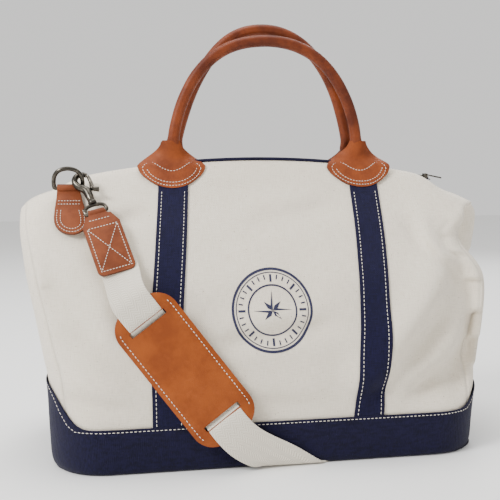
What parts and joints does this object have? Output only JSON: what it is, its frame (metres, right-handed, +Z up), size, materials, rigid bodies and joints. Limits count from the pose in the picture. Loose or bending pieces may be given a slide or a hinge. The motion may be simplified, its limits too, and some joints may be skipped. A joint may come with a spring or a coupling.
{
  "type": "duffel bag",
  "caption": "Canvas weekender duffel bag with navy boot and straps, rolled leather handles, zip mouth, and a clip-on webbing shoulder strap with a leather pad",
  "frame": {"origin": "centre of the base, on the ground under the bag", "axes": "+X along the bag to its right end, +Y to its back, +Z up"},
  "size_m": [0.56, 0.2777, 0.504],
  "materials": {
    "natural_canvas": "undyed cotton canvas with fine dark flecks",
    "navy_canvas": "navy cotton canvas",
    "handle_leather": "oiled saddle leather, rolled, darker at the bends",
    "tab_leather": "oiled saddle leather with cream stitching",
    "pad_leather": "smooth tan leather, stitched along its sides",
    "webbing": "natural cotton webbing, herringbone weave",
    "rope": "twisted jute rope core",
    "zip_tape": "navy woven zip tape",
    "zip_metal": "antique brass",
    "antique_metal": "antique gunmetal with rubbed edges",
    "stiff_board": "pressed fibre board"
  },
  "bodies": {
    "front_lip": {"front_lip": "natural_canvas", "zip_tape_front": "zip_tape", "zip_teeth_front": "zip_metal", "anchor_front_left": "handle_leather", "anchor_front_right": "handle_leather"},
    "rear_lip": {"rear_lip": "natural_canvas", "zip_tape_rear": "zip_tape", "zip_teeth_rear": "zip_metal", "anchor_rear_left": "handle_leather", "anchor_rear_right": "handle_leather"},
    "front_handle": {"handle_front": "handle_leather", "handle_core_front": "rope"},
    "rear_handle": {"handle_rear": "handle_leather", "handle_core_rear": "rope"},
    "zip_slider": {"zip_slider": "zip_metal"},
    "zip_pull": {"zip_pull": "zip_metal"},
    "left_ring": {"d_ring_left": "antique_metal"},
    "right_ring": {"d_ring_right": "antique_metal"},
    "left_hook": {"hook_left": "antique_metal"},
    "right_hook": {"hook_right": "antique_metal"},
    "left_gate": {"hook_gate_left": "antique_metal"},
    "right_gate": {"hook_gate_right": "antique_metal"},
    "root": {"base_board": "stiff_board", "base_panel": "navy_canvas", "boot_front": "navy_canvas", "boot_left": "navy_canvas", "boot_rear": "navy_canvas", "boot_right": "navy_canvas", "front_panel": "natural_canvas", "inner_pocket": "natural_canvas", "left_end_panel": "natural_canvas", "navy_strap_front_left": "navy_canvas", "navy_strap_front_right": "navy_canvas", "navy_strap_rear_left": "navy_canvas", "navy_strap_rear_right": "navy_canvas", "rear_panel": "natural_canvas", "right_end_panel": "natural_canvas", "ring_tab_left": "tab_leather", "ring_tab_right": "tab_leather", "shoulder_pad": "pad_leather", "strap_end_tab_left": "tab_leather", "strap_end_tab_right": "tab_leather", "strap_webbing": "webbing", "swivel_left": "antique_metal", "swivel_right": "antique_metal", "zip_end_left": "zip_tape", "zip_end_right": "zip_tape"}
  },
  "joints": [
    {"name": "front_lip_open", "type": "hinge", "parent": "root", "child": "front_lip", "pos_m": [0, -0.031, 0.305], "axis": [1, 0, 0], "range_deg": [0, 25]},
    {"name": "rear_lip_open", "type": "hinge", "parent": "root", "child": "rear_lip", "pos_m": [0, 0.031, 0.305], "axis": [-1, 0, 0], "range_deg": [0, 25]},
    {"name": "zip_travel", "type": "hinge", "parent": "root", "child": "zip_slider", "pos_m": [0, 0, -0.758], "axis": [0, 1, 0], "range_deg": [-22.4, 0]},
    {"name": "zip_pull_swing", "type": "hinge", "parent": "zip_slider", "child": "zip_pull", "pos_m": [0.21644, 0, 0.32172], "axis": [0, -1, 0], "range_deg": [0, 150]},
    {"name": "front_handle_fold", "type": "hinge", "parent": "front_lip", "child": "front_handle", "pos_m": [0.008, -0.01, 0.352], "axis": [1, 0, 0], "range_deg": [0, 90]},
    {"name": "rear_handle_fold", "type": "hinge", "parent": "rear_lip", "child": "rear_handle", "pos_m": [0.008, 0.01, 0.352], "axis": [-1, 0, 0], "range_deg": [0, 90]},
    {"name": "left_ring_swing", "type": "hinge", "parent": "root", "child": "left_ring", "pos_m": [-0.226, -0.03496, 0.30754], "axis": [1, 0, 0], "range_deg": [-4, 8]},
    {"name": "right_ring_swing", "type": "hinge", "parent": "root", "child": "right_ring", "pos_m": [0.226, 0.05746, 0.27754], "axis": [-1, 0, 0], "range_deg": [-4, 8]},
    {"name": "left_hook_swivel", "type": "hinge", "parent": "root", "child": "left_hook", "pos_m": [-0.20048, -0.05416, 0.29454], "axis": [0.3401, -0.5561, -0.7583], "range_deg": [-6, 0]},
    {"name": "right_hook_swivel", "type": "hinge", "parent": "root", "child": "right_hook", "pos_m": [0.20048, 0.07666, 0.26454], "axis": [-0.3401, 0.5561, -0.7583], "range_deg": [-6, 0]},
    {"name": "left_gate_press", "type": "hinge", "parent": "left_hook", "child": "left_gate", "pos_m": [-0.19901, -0.04473, 0.3074], "axis": [0, -0.8064, 0.5914], "range_deg": [0, 8], "stiffness_Nm_per_rad": 0.02, "springref_deg": -5.73},
    {"name": "right_gate_press", "type": "hinge", "parent": "right_hook", "child": "right_gate", "pos_m": [0.19901, 0.06723, 0.2774], "axis": [0, 0.8064, 0.5914], "range_deg": [0, 8], "stiffness_Nm_per_rad": 0.02, "springref_deg": -5.73}
  ],
  "couplings": [
    {"joint": "rear_lip_open", "follows": "front_lip_open", "ratio": 1}
  ]
}
